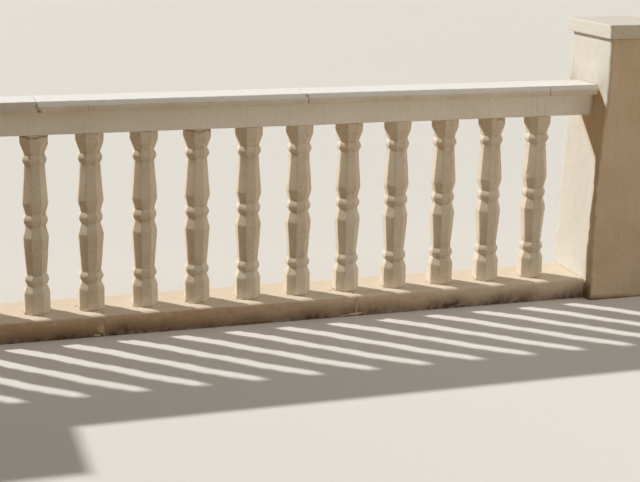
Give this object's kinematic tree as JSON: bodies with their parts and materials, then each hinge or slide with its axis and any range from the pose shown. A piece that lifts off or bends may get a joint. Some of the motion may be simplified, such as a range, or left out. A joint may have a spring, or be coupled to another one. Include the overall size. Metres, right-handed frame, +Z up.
{
  "type": "stone balustrade",
  "caption": "Straight cast stone terrace balustrade with octagonal ringed balusters on a kerb, a rail beam and bevelled coping, between taller capped piers.",
  "frame": {"origin": "on the ground, midway between the two piers and on the line of the balusters", "axes": "+X along the balustrade towards the right-hand pier as seen from the terrace, -Y towards the terrace, +Z up"},
  "size_m": [4.251, 0.362, 1.175],
  "materials": {
    "cast_stone_baluster": "cast artificial stone, smooth from the mould, cream, lightly weathered",
    "rail_stone": "cast artificial stone beam, lime washed, with thin vertical stains",
    "coping_stone": "cast artificial stone slab, smooth, paler than the rail",
    "kerb_stone": "cast stone kerb, tan, dark with dirt along its foot",
    "pier_render": "masonry pier with a hand-trowelled lime render",
    "pier_cap_stone": "cast artificial stone cap slab"
  },
  "bodies": {
    "root": {"kerb_stone_01": "kerb_stone", "kerb_stone_02": "kerb_stone", "kerb_stone_03": "kerb_stone", "kerb_stone_04": "kerb_stone", "baluster_01": "cast_stone_baluster", "baluster_02": "cast_stone_baluster", "baluster_03": "cast_stone_baluster", "baluster_04": "cast_stone_baluster", "baluster_05": "cast_stone_baluster", "baluster_06": "cast_stone_baluster", "baluster_07": "cast_stone_baluster", "baluster_08": "cast_stone_baluster", "baluster_09": "cast_stone_baluster", "baluster_10": "cast_stone_baluster", "baluster_11": "cast_stone_baluster", "baluster_12": "cast_stone_baluster", "baluster_13": "cast_stone_baluster", "baluster_14": "cast_stone_baluster", "baluster_15": "cast_stone_baluster", "baluster_16": "cast_stone_baluster", "rail_beam": "rail_stone", "coping_closer_left": "coping_stone", "coping_slab_01": "coping_stone", "coping_slab_02": "coping_stone", "coping_slab_03": "coping_stone", "coping_closer_right": "coping_stone", "pier_shaft_left": "pier_render", "pier_cap_left": "pier_cap_stone", "pier_shaft_right": "pier_render", "pier_cap_right": "pier_cap_stone"}
  },
  "joints": []
}
